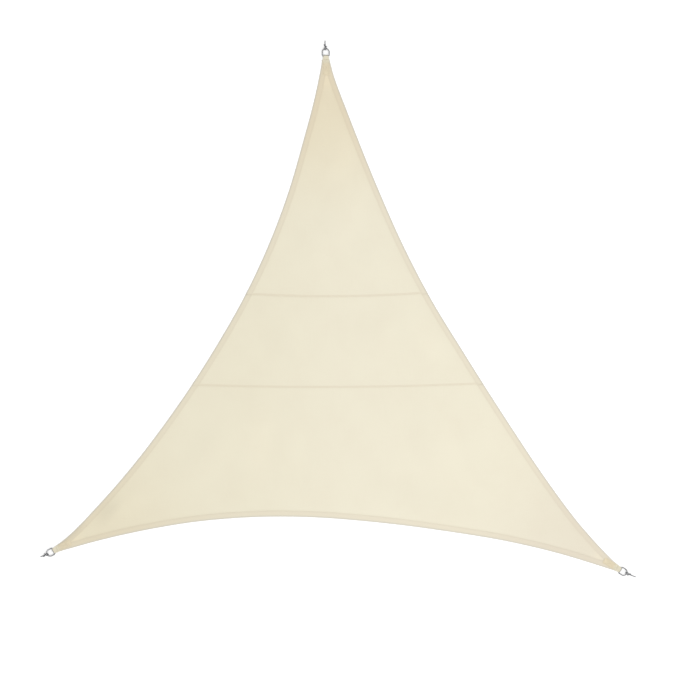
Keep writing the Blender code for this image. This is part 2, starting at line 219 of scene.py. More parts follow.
class Socket:
    """An output of a shader node. Arithmetic on it adds Math nodes to the same material."""

    def __init__(self, output):
        self.output = output

    def math(self, operation, *terms):
        tree = self.output.id_data
        step = tree.nodes.new("ShaderNodeMath")
        step.operation = operation
        for slot, term in zip(step.inputs, terms):
            feed(slot, term)
        return Socket(step.outputs[0])

    def __add__(self, other):
        return self.math("ADD", self, other)

    def __radd__(self, other):
        return self.math("ADD", other, self)

    def __sub__(self, other):
        return self.math("SUBTRACT", self, other)

    def __rsub__(self, other):
        return self.math("SUBTRACT", other, self)

    def __mul__(self, other):
        return self.math("MULTIPLY", self, other)

    def __rmul__(self, other):
        return self.math("MULTIPLY", other, self)

    def __abs__(self):
        return self.math("ABSOLUTE", self)

    def sine(self):
        return self.math("SINE", self)

    def wrapped(self, length):
        """The rest of the value after whole lengths are taken off, always positive."""
        return self.math("WRAP", self, length, 0.0)


def feed(slot, term):
    """Joins an output to a socket, or sets the socket's own value."""
    if isinstance(term, Socket):
        slot.id_data.links.new(term.output, slot)
    else:
        slot.default_value = term


class Finish:
    """A material that is put together round its Principled shader."""

    def __init__(self, name):
        self.material = bpy.data.materials.new(name)
        self.material.use_nodes = True
        self.tree = self.material.node_tree

    def node(self, kind, settings, sockets, output=0):
        """A new node: its settings are set first, then the values or links of its sockets."""
        made = self.tree.nodes.new("ShaderNode" + kind)
        for name, value in settings.items():
            setattr(made, name, value)
        for name, term in sockets.items():
            feed(made.inputs[name], term)
        return Socket(made.outputs[output])

    def blend(self, share, low, high, blend_type="MIX"):
        """A colour between two colours, by share. Either may be plain or come from a socket."""
        low, high = ((*end, 1.0) if isinstance(end, tuple) else end for end in (low, high))
        settings = {"data_type": "RGBA", "blend_type": blend_type}
        return self.node("Mix", settings, {0: share, 6: low, 7: high}, output=2)

    def place(self):
        """The place on the piece, in its own coordinates."""
        return self.node("TexCoord", {}, {}, output=3)

    def stored(self, name):
        """A number that the mesh stores at its points."""
        return self.node("Attribute", {"attribute_name": name}, {}, output=2)

    def axis(self, place, index):
        """One coordinate of a place: 0 for X, 1 for Y."""
        return self.node("SeparateXYZ", {}, {0: place}, output=index)

    def tinted(self, colour):
        """A colour multiplied by the tint that the mesh stores."""
        tint = self.node("Attribute", {"attribute_name": "tint"}, {})
        return self.blend(1.0, colour, tint, "MULTIPLY")

    def noise(self, place, scale, detail=2.0):
        return self.node("TexNoise", {}, {"Vector": place, "Scale": scale, "Detail": detail})

    def stretched_noise(self, place, scales, detail=2.0):
        """Noise at a place in the plane, with its own scale along each axis."""
        scaled = self.node("VectorMath", {"operation": "MULTIPLY"}, {0: place, 1: scales})
        return self.noise(scaled, 1.0, detail)

    def bump(self, height, distance):
        return self.node("Bump", {}, {"Height": height, "Distance": distance})

    def shade(self, sockets):
        """Sets or joins the Principled shader's sockets, and gives the finished material."""
        for name, term in sockets.items():
            feed(self.tree.nodes["Principled BSDF"].inputs[name], term)
        return self.material


def braided_cord_finish():
    """Dark polyester fibres, with fine fibre lines. The crowns of the braid are painted lighter and
    the hollows between its strands darker, as painted light and shade.
    """
    cord = Finish("braided_cord_grey")
    place = cord.node("UVMap", {"uv_map": "cord"}, {})
    fibres = cord.stretched_noise(place, (90.0, 900.0, 1.0))
    patches = cord.stretched_noise(place, (3.0, 120.0, 1.0))
    # Painted light and shade: the braid's crowns lighter, the hollows between strands darker, mixed
    # with random fibre colour.
    share = cord.stored("crown") * 0.45 + fibres * 0.35 + patches * 0.2
    return cord.shade({
        "Base Color": cord.blend(share, CORD_GREY, CORD_LIGHT),
        "Roughness": 0.62 + fibres * 0.25,
        "Normal": cord.bump(fibres, 0.00012),
        "Sheen Weight": 0.15,
    })


def braided_cord(name, path):
    """A round braid along the path: diamonds between two sets of helical strands, blunt ends."""
    walked = walked_along(step_lengths(path))
    ahead = unit(np.gradient(path, axis=0))
    across = np.empty_like(path)
    across[0] = unit(np.cross(ahead[0], (0.0, 0.0, 1.0)))
    for index in range(1, len(path)):
        carried = across[index - 1]
        across[index] = unit(carried - ahead[index] * (carried @ ahead[index]))
    upright = np.cross(ahead, across)
    around = np.linspace(0, math.tau, CORD_SIDES, endpoint=False)
    spin = math.tau * walked[:, None] / BRAID_LAY
    rising = np.abs(np.sin(BRAID_STRANDS * (around + spin) / 2))
    falling = np.abs(np.sin(BRAID_STRANDS * (around - spin) / 2))
    crown = np.sqrt(rising * falling)
    to_end = np.minimum(walked, walked[-1] - walked)
    rounding = 1 - np.clip(1 - to_end / END_RADIUS, 0, 1) ** 2 * END_TAPER
    radius = (CORD / 2 - BRAID_RELIEF * (1 - crown)) * rounding[:, None]
    rings = path[:, None] + radius[..., None] * (
        np.cos(around)[:, None] * across[:, None] + np.sin(around)[:, None] * upright[:, None])
    points = rings.reshape(-1, 3)
    numbers = range(len(points))
    faces = grid_faces(len(path), CORD_SIDES, closed=True)
    faces += [tuple(numbers[:CORD_SIDES]), tuple(numbers[:-CORD_SIDES - 1:-1])]
    uv = np.stack(np.broadcast_arrays(around * CORD / 2, walked[:, None]), axis=-1).reshape(-1, 2)
    piece = new_piece(name, points, faces, "cord", uv)
    store(piece, "crown", crown)
    face_outwards(piece)
    bpy.ops.object.shade_smooth_by_angle(angle=math.radians(60))
    return piece


cord_material = braided_cord_finish()
for corner in corners.values():
    last_out = HITCH[-1][0]
    free_end = [(last_out + (corner.tie_reach - last_out) * share, corner.tie_drift * share ** 2,
                 FREE_END_RISE) for share in FREE_END_SHARES]
    knots = []
    for out, side, up in (*HITCH, *free_end):
        arm = corner.tie_turn @ Vector((out - RING_SHOULDER, side))
        knots.append(corner.place(RING_SHOULDER + arm.x, arm.y, up))
    route = smooth_curve(knots, CORD_STEP)
    tie = braided_cord("braided_tie_" + corner.name, route)
    tie.data.materials.append(cord_material)
    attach(tie, "root")
    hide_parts("tie_" + corner.name)


# Corner rings. Each is a D ring bent from 6 mm round steel wire and welded shut: its straight bar
# lies in the strap's loop, and its bow carries the tie and tips up a little over the cord.
WIRE = 0.006
WIRE_SIDES = 20
RING_HALF_WIDTH = 0.0215
RING_CORNER = 0.006
RING_BAR = -0.022       # along the outward direction, from the ring's middle
BAR_HEIGHT = 0.00485
BOW_HEIGHT = 0.0087
STEEL = (0.290, 0.290, 0.297)
STEEL_DULL = (0.165, 0.165, 0.169)


def worn_steel_finish():
    """Plated steel wire: bright, with dull patches and fine scuffs."""
    steel = Finish("worn_steel")
    patches = steel.noise(steel.place(), 160.0, detail=3.0)
    scuffs = steel.noise(steel.place(), 1500.0)
    return steel.shade({
        "Base Color": steel.blend(patches, STEEL_DULL, STEEL),
        "Metallic": 1.0,
        "Roughness": 0.22 + patches * 0.2 + scuffs * 0.1,
        "Normal": steel.bump(scuffs, 0.00004),
    })


def d_ring():
    """One D ring, lying flat with its middle at the origin and its bow towards +X."""
    bpy.ops.object.select_all(action="DESELECT")
    start = (RING_BAR + RING_CORNER, RING_HALF_WIDTH, 0)
    bpy.ops.mesh.primitive_circle_add(
        vertices=WIRE_SIDES, radius=WIRE / 2, location=start, rotation=(0, math.pi / 2, 0))
    ring = bpy.context.object
    bpy.ops.object.transform_apply(location=True, rotation=True, scale=True)
    edit_all(ring)
    side_length = RING_SHOULDER - start[0]
    half_bar = RING_HALF_WIDTH - RING_CORNER
    bends = (               # the straight length before each bend, its middle, turn and steps
        ((side_length, 0, 0), (RING_SHOULDER, 0, 0), math.pi, 36),
        ((-side_length, 0, 0), (start[0], -half_bar, 0), math.pi / 2, 8),
        ((0, 2 * half_bar, 0), (start[0], half_bar, 0), math.pi / 2, 8),
    )
    for straight, middle, turn, steps in bends:
        bpy.ops.mesh.extrude_region_move(TRANSFORM_OT_translate={"value": straight})
        bpy.ops.mesh.spin(steps=steps, angle=turn, center=middle, axis=(0, 0, 1))
    bpy.ops.mesh.select_all(action="SELECT")
    bpy.ops.mesh.remove_doubles(threshold=0.00005)
    bpy.ops.mesh.normals_make_consistent(inside=False)
    bpy.ops.object.mode_set(mode="OBJECT")
    bpy.ops.object.shade_smooth()
    return ring


steel_material = worn_steel_finish()
pattern_ring = d_ring()
tip_up = math.atan2(BOW_HEIGHT - BAR_HEIGHT, RING_SHOULDER + RING_HALF_WIDTH - RING_BAR)
seat = Matrix.Translation((RING_BAR, 0, BAR_HEIGHT)) @ Matrix.Rotation(-tip_up, 4, "Y")
for corner in corners.values():
    ring = bpy.data.objects.new("steel_ring_" + corner.name, pattern_ring.data.copy())
    bpy.context.scene.collection.objects.link(ring)
    ring.data.transform(corner.turn @ seat @ Matrix.Translation((-RING_BAR, 0, 0)))
    ring.data.materials.append(steel_material)
    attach(ring, "root")
    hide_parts("ring_" + corner.name)
bpy.data.objects.remove(pattern_ring)


# Sail panels. The sail is three pieces of cream woven polyester, joined edge over edge by two
# lapped seams. Its hollow edges are folded over onto the face as a 36 mm hem, mitred at the tips.
FABRIC = 0.0012         # room that one layer takes up
SHEET = 0.0011          # the sheet itself
SHEET_SMOOTH = math.radians(50)
HEM = 0.036
TIP_SETBACK = 0.042     # from a ring's middle to the cut tip of the cloth
SAG_COLUMNS = ("share", "left_edge", "right_edge", "bottom_edge")
EDGE_SAG = (            # how far each edge lies inside the straight line between two ring middles
    (0.0115, -0.002, 0.001, 0.004),
    (0.0200, 0.011, 0.010, 0.015),
    (0.0400, 0.035, 0.029, 0.037),
    (0.0600, 0.057, 0.043, 0.060),
    (0.1000, 0.097, 0.066, 0.102),
    (0.1500, 0.140, 0.094, 0.148),
    (0.2500, 0.219, 0.144, 0.221),
    (0.3500, 0.269, 0.181, 0.262),
    (0.4500, 0.290, 0.195, 0.274),
    (0.5500, 0.284, 0.184, 0.260),
    (0.7000, 0.240, 0.158, 0.211),
    (0.8000, 0.187, 0.132, 0.163),
    (0.9000, 0.109, 0.086, 0.089),
    (0.9400, 0.071, 0.055, 0.051),
    (0.9600, 0.048, 0.037, 0.031),
    (0.9800, 0.019, 0.016, 0.011),
    (0.9885, 0.004, 0.003, 0.002),
)
EDGE_ENDS = {
    "left_edge": ("top", "left"),
    "right_edge": ("top", "right"),
    "bottom_edge": ("left", "right"),
}
EDGE_STEP = 0.002
SEAMS = {               # height and middle of its bow, and how much it bows
    "upper_seam": (0.0990, -0.05, 0.060),
    "lower_seam": (-0.4630, -0.10, 0.022),
}
LAP = 0.012             # the upper panel laps over the lower one by this much
LAP_MARGIN = 0.0006     # rows of the mesh up to this far past the lap count as double
RAMP = 0.030            # over this length the cloth comes down from what it lies on
LAYER_GAP = 0.0003
WEBBING = 0.0015
STRAP_TAIL = 0.098
BESIDE_STRAP = (0.021, 0.045)   # off its middle line, where the cloth comes down beside it
# Soft patches of the cloth: middle, angle, half length, half width and amount
SWELLS = (              # low swells of the laid cloth, which is flat on the ground elsewhere
    (0.040, 0.640, 68.0, 0.380, 0.170, 0.010),
    (-0.150, 0.380, 105.0, 0.200, 0.130, 0.006),
    (0.240, 0.320, 120.0, 0.230, 0.140, 0.007),
    (-0.330, -0.190, 80.0, 0.220, 0.150, 0.008),
    (0.250, -0.150, 100.0, 0.210, 0.160, 0.007),
    (-0.780, -0.860, 55.0, 0.340, 0.160, 0.010),
    (-0.310, -0.850, 88.0, 0.300, 0.140, 0.007),
    (0.600, -0.800, 110.0, 0.320, 0.180, 0.010),
    (1.020, -1.050, 140.0, 0.300, 0.140, 0.007),
    (-1.280, -1.160, 32.0, 0.260, 0.110, 0.007),
)
SHADE_AND_LIGHT_PATCHES = (               # painted shade and light on the cloth, by a share of its colour
    (-1.419, -1.233, 48.0, 0.150, 0.075, -0.065),
    (0.038, 0.890, 75.0, 0.360, 0.120, 0.024),
    (-0.303, -0.235, 90.0, 0.180, 0.120, -0.014),
    (0.577, -0.190, 125.0, 0.260, 0.130, 0.020),
    (-0.464, -0.824, 82.0, 0.360, 0.190, 0.026),
    (0.560, -1.160, 165.0, 0.620, 0.170, -0.016),
    (-1.648, -1.374, 43.0, 0.160, 0.045, -0.120),
)
SEAM_FLAT = (0.040, 0.160)      # the cloth lies flat near a seam, and swells from there on
CORNER_FLAT = (0.15, 0.45)      # and so it does near a ring
UNEVEN = ((0.0006, 4.0, 3.0), (0.0003, 13.0, 8.0))  # half height, noise scale and seed
RIPPLE = 0.0004         # half height of the ripples that a seam draws into the cloth
RIPPLE_STRETCH = (1.0, 0.25)
RIPPLE_NOISE = (38.0, 5.0)
RIPPLE_REACH = (0.008, 0.060)
STATION_STEP = 0.012    # spacing of the mesh along the edges
COLUMN_STEP = 0.0125    # and across a panel, at its widest
TIP_STATIONS = 6
LENGTH_SHARES = np.linspace(0, 1, 50)   # enough points to measure an edge by
HEM_PUFF = 0.0007       # the hem's upper layer stands up this much between its stitch rows
PUFF_SHARE = 0.65       # its usual share of that, and how it varies: amount, scale and seed
PUFF_NOISE = ((0.6, 22.5, 11.0), (0.3, 9.0, 2.0))
PUFF_MOST = 1.4
HEM_PROFILE = (         # distance from the sail's edge, height of the layer, and share of the puff
    (0.0360, 0.0, 0.0),
    (0.0180, 0.0, 0.0),
    (0.0006, 0.0, 0.0),
    (0.0002, 0.0002, 0.0),
    (0.0000, 0.0006, 0.0),
    (0.0002, 0.0010, 0.0),
    (0.0006, 0.0012, 0.0),
    (0.0030, 0.0012, 0.3),
    (0.0050, 0.0012, 0.0),
    (0.0075, 0.0012, 0.5),
    (0.0120, 0.0012, 0.9),
    (0.0180, 0.0012, 1.0),
    (0.0240, 0.0012, 0.9),
    (0.0290, 0.0012, 0.4),
    (0.0312, 0.0012, 0.0),
    (0.0336, 0.0012, 0.3),
    (0.0360, 0.0012, 0.1),
)
HEM_BASE_ROWS = 3       # the rows of the profile that belong to the lower layer
HEM_STITCH_ROWS = (6, 12)   # the rows of the folded layer that are sewn down
STITCH_SHADE_AND_DUST = (0.30, 0.12)      # and how much painted shade, with some dust, lies in the channel along them
STITCH_SHADE_WIDTH = 0.0018
FOLD_EDGE_SHADE, FOLD_EDGE_SHADE_WIDTH = 0.75, 0.0040   # painted shade along the hem's fold
CREAM = (0.637, 0.598, 0.476)
# Painted shade: the cloth where it lies double, where less light comes through it.
CREAM_DOUBLED_SHADED = (0.604, 0.553, 0.437)
# The colour of the painted shade along the hem's fold and stitch channels, which also stands for
# some dust.
EDGE_SHADE_AND_DUST = (0.423, 0.408, 0.367)
CORNER_TINTS = {        # the cloth is a little darker and more tan towards each corner
    "top": (0.950, 0.908, 0.842),
    "left": (0.963, 0.940, 0.898),
    "right": (0.925, 0.910, 0.920),
}
CORNER_REACH = (0.25, 1.15)         # distances from the ring over which the tint fades
LEFT_SHADE_TINT = (0.972, 0.970, 0.952)   # and it is painted darker over its left part, as painted shade
LEFT_REACH = (-0.70, 0.20)
SINGLE_LIGHT_TINT = (1.050, 1.035, 1.020) # between the hems, close to a corner, it is painted lighter, as painted light
SINGLE_REACH = (0.17, 0.25)
THREAD_PITCH = 0.0010


def woven_cream_finish():
    """Plain-woven polyester: threads both ways, uneven yarn, painted shade where it lies double,
    and painted shade with some dust along its hems.
    """
    cloth = Finish("woven_cream_polyester")
    flat = cloth.node("UVMap", {"uv_map": "flat_cloth"}, {})
    turns = math.tau / THREAD_PITCH
    weave = (cloth.axis(flat, 0) * turns).sine() * (cloth.axis(flat, 1) * turns).sine()
    warp_yarn = cloth.stretched_noise(flat, (700.0, 9.0, 1.0))
    weft_yarn = cloth.stretched_noise(flat, (9.0, 700.0, 1.0))
    clouds = cloth.stretched_noise(flat, (5.0, 5.0, 1.0), detail=3.0)
    yarn = warp_yarn + weft_yarn - 1.0
    # Painted shade where the cloth lies double, mixed with random yarn and cloud tone.
    share = cloth.stored("doubled") + yarn * 0.5 + clouds * 0.9 - 0.35
    cream = cloth.tinted(cloth.blend(share, CREAM, CREAM_DOUBLED_SHADED))
    return cloth.shade({
        # Painted shade, with some dust, along the hem's fold and stitch channels.
        "Base Color": cloth.blend(cloth.stored("dusty"), cream, EDGE_SHADE_AND_DUST),
        "Roughness": 0.74 + yarn * 0.2,
        "Normal": cloth.bump(weave * 0.5 + yarn * 0.8, 0.00012),
        "Sheen Weight": 0.1,
    })


def edge_lines(name):
    """A hollow edge's line and its hem line inside it, point for point."""
    start, end = (Vector(corners[corner].middle) for corner in EDGE_ENDS[name])
    chord = end - start
    inward = Vector((-chord.y, chord.x)).normalized()
    sail_middle = np.mean([corner.middle for corner in corners.values()], axis=0)
    if inward.dot(Vector(sail_middle) - start) < 0:
        inward.negate()
    knots = []
    for row in EDGE_SAG:
        sag = dict(zip(SAG_COLUMNS, row))
        knots.append(start + chord * sag["share"] + inward * sag[name])
    outer = smooth_curve(knots, EDGE_STEP)
    along = unit(np.gradient(outer, axis=0))
    normal = np.stack((-along[:, 1], along[:, 0]), axis=1)
    normal *= np.sign(normal @ np.array(inward))[:, None]
    return outer, outer + normal * HEM


def point_at(line, places):
    """Points of a line at places counted in its own steps."""
    return points_on(line, np.arange(len(line)), places)


def place_where(values):
    """The place on a line where values along it first change sign."""
    index = np.nonzero(values[:-1] * values[1:] <= 0)[0][0]
    return index + values[index] / (values[index] - values[index + 1])


def seam_height(seam, x):
    height, middle, bow_out = SEAMS[seam]
    return height + bow_out * (x - middle) ** 2


edges = {name: edge_lines(name) for name in EDGE_ENDS}
apexes = {}             # where the two hem lines at a corner cross, and the place on each
for corner_name in corners:
    first, second = (name for name, ends in EDGE_ENDS.items() if corner_name in ends)
    first_line, second_line = edges[first][1], edges[second][1]
    apart = np.linalg.norm(first_line[:, None] - second_line[None, :], axis=2)
    first_place, second_place = np.unravel_index(apart.argmin(), apart.shape)
    meeting = (first_line[first_place] + second_line[second_place]) / 2
    apexes[corner_name] = (meeting, {first: first_place, second: second_place})


def stations(name, start, end, shares):
    """Outer and hem-line points of an edge between two keys: a corner, or a seam and an offset."""
    outer, hem_line = edges[name]
    ends = []
    for key in (start, end):
        if isinstance(key, str):
            ends.append((apexes[key][1][name],) * 2)
        else:
            seam, offset = key
            ends.append([place_where(line[:, 1] - seam_height(seam, line[:, 0]) - offset)
                         for line in (outer, hem_line)])
    (outer_start, hem_start), (outer_end, hem_end) = ends
    outer_points = point_at(outer, outer_start + (outer_end - outer_start) * shares)
    hem_points = point_at(hem_line, hem_start + (hem_end - hem_start) * shares)
    for key, index in ((start, 0), (end, -1)):
        if isinstance(key, str):
            hem_points[index] = apexes[key][0]
    return outer_points, hem_points


def tip_stations(name, corner_name):
    """Outer and mitre points of an edge, from the cut tip of the cloth to the corner's apex."""
    outer = edges[name][0]
    corner = corners[corner_name]
    apex, places = apexes[corner_name]
    beyond_cut = np.nonzero(corner.setback(outer) > TIP_SETBACK)[0]
    cut = beyond_cut[0] if places[name] < len(outer) / 2 else beyond_cut[-1]
    shares = np.linspace(0, 1, TIP_STATIONS + 1)
    cut_middle = corner.middle - corner.outward * TIP_SETBACK
    mitre = cut_middle + (apex - cut_middle) * shares[:, None]
    return point_at(outer, cut + (places[name] - cut) * shares), mitre


def shares_between(length, near_start, near_end):
    """Shares of a length: given distances at both ends, and even steps between them."""
    first, last = near_start[-1], length - near_end[-1]
    even = np.linspace(first, last, round((last - first) / STATION_STEP) + 1)
    places = [*near_start[:-1], *even, *(length - distance for distance in near_end[-2::-1])]
    return np.array(places) / length


def fill_between(top, bottom, left, right):
    """A grid of points that fills the space between four lines that meet at their ends."""
    across = np.linspace(0, 1, len(top))[None, :, None]
    steps = step_lengths(left) + step_lengths(right)
    down = (walked_along(steps) / steps.sum())[:, None, None]
    between_rows = (1 - down) * top[None] + down * bottom[None]
    between_columns = (1 - across) * left[:, None] + across * right[:, None]
    between_corners = (1 - down) * between_columns[:1] + down * between_columns[-1:]
    return between_rows + between_columns - between_corners


def rise(values, start, end):
    """0 up to start, 1 from end on, and a soft slope between them."""
    share = np.clip((values - start) / (end - start), 0, 1)
    return share * share * (3 - 2 * share)


def noise_at(points, scale, seed):
    """Smooth noise from -1 to 1 at points in the plane."""
    places = points.reshape(-1, 2) * scale
    return np.array([noise.noise((x, y, seed)) for x, y in places]).reshape(points.shape[:-1])


def on_strap(corner, points):
    """1 for points that lie on a corner's strap, 0 away from it, and a soft slope between them."""
    strap_end = TIP_SETBACK + STRAP_TAIL
    past_end = rise(corner.setback(points), strap_end, strap_end + RAMP)
    beside = rise(abs(corner.offset(points)), *BESIDE_STRAP)
    return (1 - past_end) * (1 - beside)


def soft_patch(x, y, middle_x, middle_y, angle, half_length, half_width, amount):
    """The patch's amount in its middle, 0 from its edge on, and a soft slope between them."""
    cosine, sine = math.cos(math.radians(angle)), math.sin(math.radians(angle))
    off_x, off_y = x - middle_x, y - middle_y
    along, side = off_x * cosine + off_y * sine, off_y * cosine - off_x * sine
    reach = np.minimum(1, np.hypot(along / half_length, side / half_width))
    return amount * (1 + np.cos(math.pi * reach)) / 2


def rest_height(points, seam_below):
    """How high the cloth's underside lies over points in the plane."""
    x, y = points[..., 0], points[..., 1]
    height = sum(soft_patch(x, y, *swell) for swell in SWELLS)
    height += sum(half * (1 + noise_at(points, scale, seed)) for half, scale, seed in UNEVEN)
    ripple = RIPPLE * (1 + noise_at(points * RIPPLE_STRETCH, *RIPPLE_NOISE))
    for seam in SEAMS:
        beside = abs(y - seam_height(seam, x))
        height = height * rise(beside, *SEAM_FLAT) + ripple * (1 - rise(beside, *RIPPLE_REACH))
    if seam_below:
        above = y - seam_height(seam_below, x)
        height += (FABRIC + LAYER_GAP) * (1 - rise(above, LAP / 2, LAP / 2 + RAMP))
    for corner in corners.values():
        height = height * rise(corner.setback(points), *CORNER_FLAT)
        height += (WEBBING + LAYER_GAP) * on_strap(corner, points)
    return height


def tinge(colour, share):
    """A tint for every point, which turns from white to the colour by share."""
    return 1 + (np.array(colour) - 1) * share


def thicken(piece, thickness):
    """Turns a surface into a sheet, with half of its thickness on each side."""
    solid = piece.modifiers.new("thickness", "SOLIDIFY")
    solid.thickness = thickness
    solid.offset = 0.0
    bpy.ops.object.modifier_apply(modifier=solid.name)


class Cloth:
    """The points and faces of one panel, gathered grid by grid and then sewn into one mesh."""

    def __init__(self, seam_below):
        self.seam_below = seam_below
        self.points, self.flat, self.doubled, self.dusty, self.faces = [], [], [], [], []
        self.folds, self.seam_rows = [], []     # where the stitches of its hems and its seam go

    def lay(self, place, flat, layer, doubled, dusty, skip=0):
        """Adds a grid of points. The faces of its first rows are left out, as skip says."""
        first = sum(len(points) for points in self.points)
        height = rest_height(place, self.seam_below) + layer
        grid = np.concatenate((place, height[..., None]), axis=-1)
        rows, columns = height.shape
        self.points.append(grid.reshape(-1, 3))
        self.flat.append(flat.reshape(-1, 2))
        self.doubled.append(np.broadcast_to(doubled, height.shape).ravel())
        self.dusty.append(np.broadcast_to(dusty, height.shape).ravel())
        self.faces += grid_faces(rows - skip, columns, first + skip * columns)
        return grid

    def lay_body(self, grid):
        """Adds the part of the panel inside its hems."""
        doubled = 0.0
        if self.seam_below:
            above = grid[..., 1] - seam_height(self.seam_below, grid[..., 0]) + LAP / 2
            doubled = (above < LAP + LAP_MARGIN).astype(float)
        body = self.lay(grid, grid, FABRIC / 2, doubled, 0.0)
        if self.seam_below:
            self.seam_rows = [body[-2], body[-4]]

    def lay_hem(self, outer, inner, folded_from=0):
        """Adds the hem along an edge: the layer below, the fold, and the layer on the face."""
        grids = []
        below, folded = HEM_PROFILE[:HEM_BASE_ROWS], HEM_PROFILE[HEM_BASE_ROWS - 1:]
        for rows, skip in ((below, 0), (folded, folded_from)):
            distance, layer, puff = np.array(rows).T
            share = (distance / HEM)[None, :, None]
            place = outer[:, None] * (1 - share) + inner[:, None] * share
            on_face = (layer > FABRIC / 2)[None, :, None]
            flat = np.where(on_face, 2 * outer[:, None] - place, place)
            uneven = PUFF_SHARE + sum(
                amount * noise_at(place, scale, seed) for amount, scale, seed in PUFF_NOISE)
            sewn_flat = 1 - sum(on_strap(corner, place) for corner in corners.values())
            puffed = HEM_PUFF * puff * np.clip(uneven, 0, PUFF_MOST) * sewn_flat
            # Painted shade along the hem's fold, and painted shade with some dust in the channels
            # of its stitch rows.
            shade_and_dust_share = FOLD_EDGE_SHADE * np.exp(-distance / FOLD_EDGE_SHADE_WIDTH)
            for row, dust in zip(HEM_STITCH_ROWS, STITCH_SHADE_AND_DUST):
                off_row = (distance - HEM_PROFILE[HEM_BASE_ROWS - 1 + row][0]) / STITCH_SHADE_WIDTH
                shade_and_dust_share += dust * np.exp(-off_row ** 2) * (layer > FABRIC / 2)
            doubled = (layer > 0).astype(float)
            grids.append(self.lay(place, flat, FABRIC / 2 + layer + puffed, doubled, shade_and_dust_share, skip))
        self.folds.append(grids[1][folded_from:])

    def sewn(self, name):
        """The finished panel, with its grids joined and its thickness added."""
        points = np.concatenate(self.points)
        doubled = np.concatenate(self.doubled)
        piece = new_piece(name, points, self.faces, "flat_cloth", np.concatenate(self.flat))
        store(piece, "doubled", doubled)
        store(piece, "dusty", np.concatenate(self.dusty))
        # Painted shade over the left part of the sail.
        tint = tinge(LEFT_SHADE_TINT, 1 - rise(points[:, :1], *LEFT_REACH))
        for corner_name, colour in CORNER_TINTS.items():
            away = np.linalg.norm(points[:, :2] - corners[corner_name].middle, axis=1)[:, None]
            tint *= tinge(colour, 1 - rise(away, *CORNER_REACH))
            # Painted light on the single cloth close to each corner.
            tint *= tinge(SINGLE_LIGHT_TINT, (1 - doubled[:, None]) * (1 - rise(away, *SINGLE_REACH)))
        # Painted shade and light in soft patches.
        tint *= 1 + sum(soft_patch(points[:, :1], points[:, 1:2], *shade_patch) for shade_patch in SHADE_AND_LIGHT_PATCHES)
        store(piece, "tint", tint, "FLOAT_VECTOR", "vector")
        edit_all(piece)
        bpy.ops.mesh.remove_doubles(threshold=0.00002)
        bpy.ops.mesh.normals_make_consistent(inside=False)
        bpy.ops.mesh.delete_loose()
        bpy.ops.object.mode_set(mode="OBJECT")
        self.flat_area = sum(face.area for face in piece.data.polygons)
        thicken(piece, SHEET)
        bpy.ops.object.shade_smooth_by_angle(angle=SHEET_SMOOTH)
        return piece


NEAR_LAP = (0.0, 0.0034, 0.0068, 0.0102, 0.0136, 0.0150, 0.0200, 0.0300)
UNDER_LAP = (0.0, 0.0068, 0.0136, 0.0148, 0.0200, 0.0300)
NEAR_APEX = (0.0, 0.006)
FOLD_STARTS = 3         # the row of UNDER_LAP where the lower panel's fold starts


def columns_for(line):
    return round(step_lengths(line).sum() / COLUMN_STEP)


def seam_line(seam, offset, start, end, count):
    """Points beside a seam between two points that lie on that line."""
    x = np.linspace(start[0], end[0], count + 1)
    line = np.stack((x, seam_height(seam, x) + offset), axis=1)
    line[0], line[-1] = start, end
    return line


cloth_material = woven_cream_finish()
panels, cloths = {}, {}
PANEL_SPANS = (         # name, seam above and seam below
    ("top", None, "upper_seam"),
    ("middle", "upper_seam", "lower_seam"),
    ("bottom", "lower_seam", None),
)
for panel_name, seam_above, seam_below in PANEL_SPANS:
    cloth = Cloth(seam_below)
    cloths[panel_name] = cloth
    start = (seam_above, LAP / 2) if seam_above else "top"
    end = (seam_below, -LAP / 2) if seam_below else None    # or the corner at the side
    near_start = UNDER_LAP if seam_above else NEAR_APEX
    near_end = NEAR_LAP if seam_below else NEAR_APEX
    left_outer = stations("left_edge", start, end or "left", LENGTH_SHARES)[0]
    shares = shares_between(step_lengths(left_outer).sum(), near_start, near_end)
    hem_lines = []
    for side in ("left", "right"):
        edge = side + "_edge"
        outer, hem_line = stations(edge, start, end or side, shares)
        hem_lines.append(hem_line)
        cloth.lay_hem(outer, hem_line, folded_from=FOLD_STARTS if seam_above else 0)
        for key in (start, end or side):
            if isinstance(key, str):
                cloth.lay_hem(*tip_stations(edge, key))
    left, right = hem_lines
    if seam_below:
        count = columns_for((left[-1], right[-1]))
        bottom = seam_line(seam_below, -LAP / 2, left[-1], right[-1], count)
    else:
        count = columns_for(stations("bottom_edge", "left", "right", LENGTH_SHARES)[1])
        outer, bottom = stations("bottom_edge", "left", "right", np.linspace(0, 1, count + 1))
        cloth.lay_hem(outer, bottom)
        for corner_name in EDGE_ENDS["bottom_edge"]:
            cloth.lay_hem(*tip_stations("bottom_edge", corner_name))
    if seam_above:
        top = seam_line(seam_above, LAP / 2, left[0], right[0], count)
    else:
        top = np.repeat(left[:1], count + 1, axis=0)
    cloth.lay_body(fill_between(top, bottom, left, right))
    panel = cloth.sewn("cream_panel_" + panel_name)
    panel.data.materials.append(cloth_material)
    panels[panel_name] = panel
    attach(panel, "root")
    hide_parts("panel_" + panel_name)


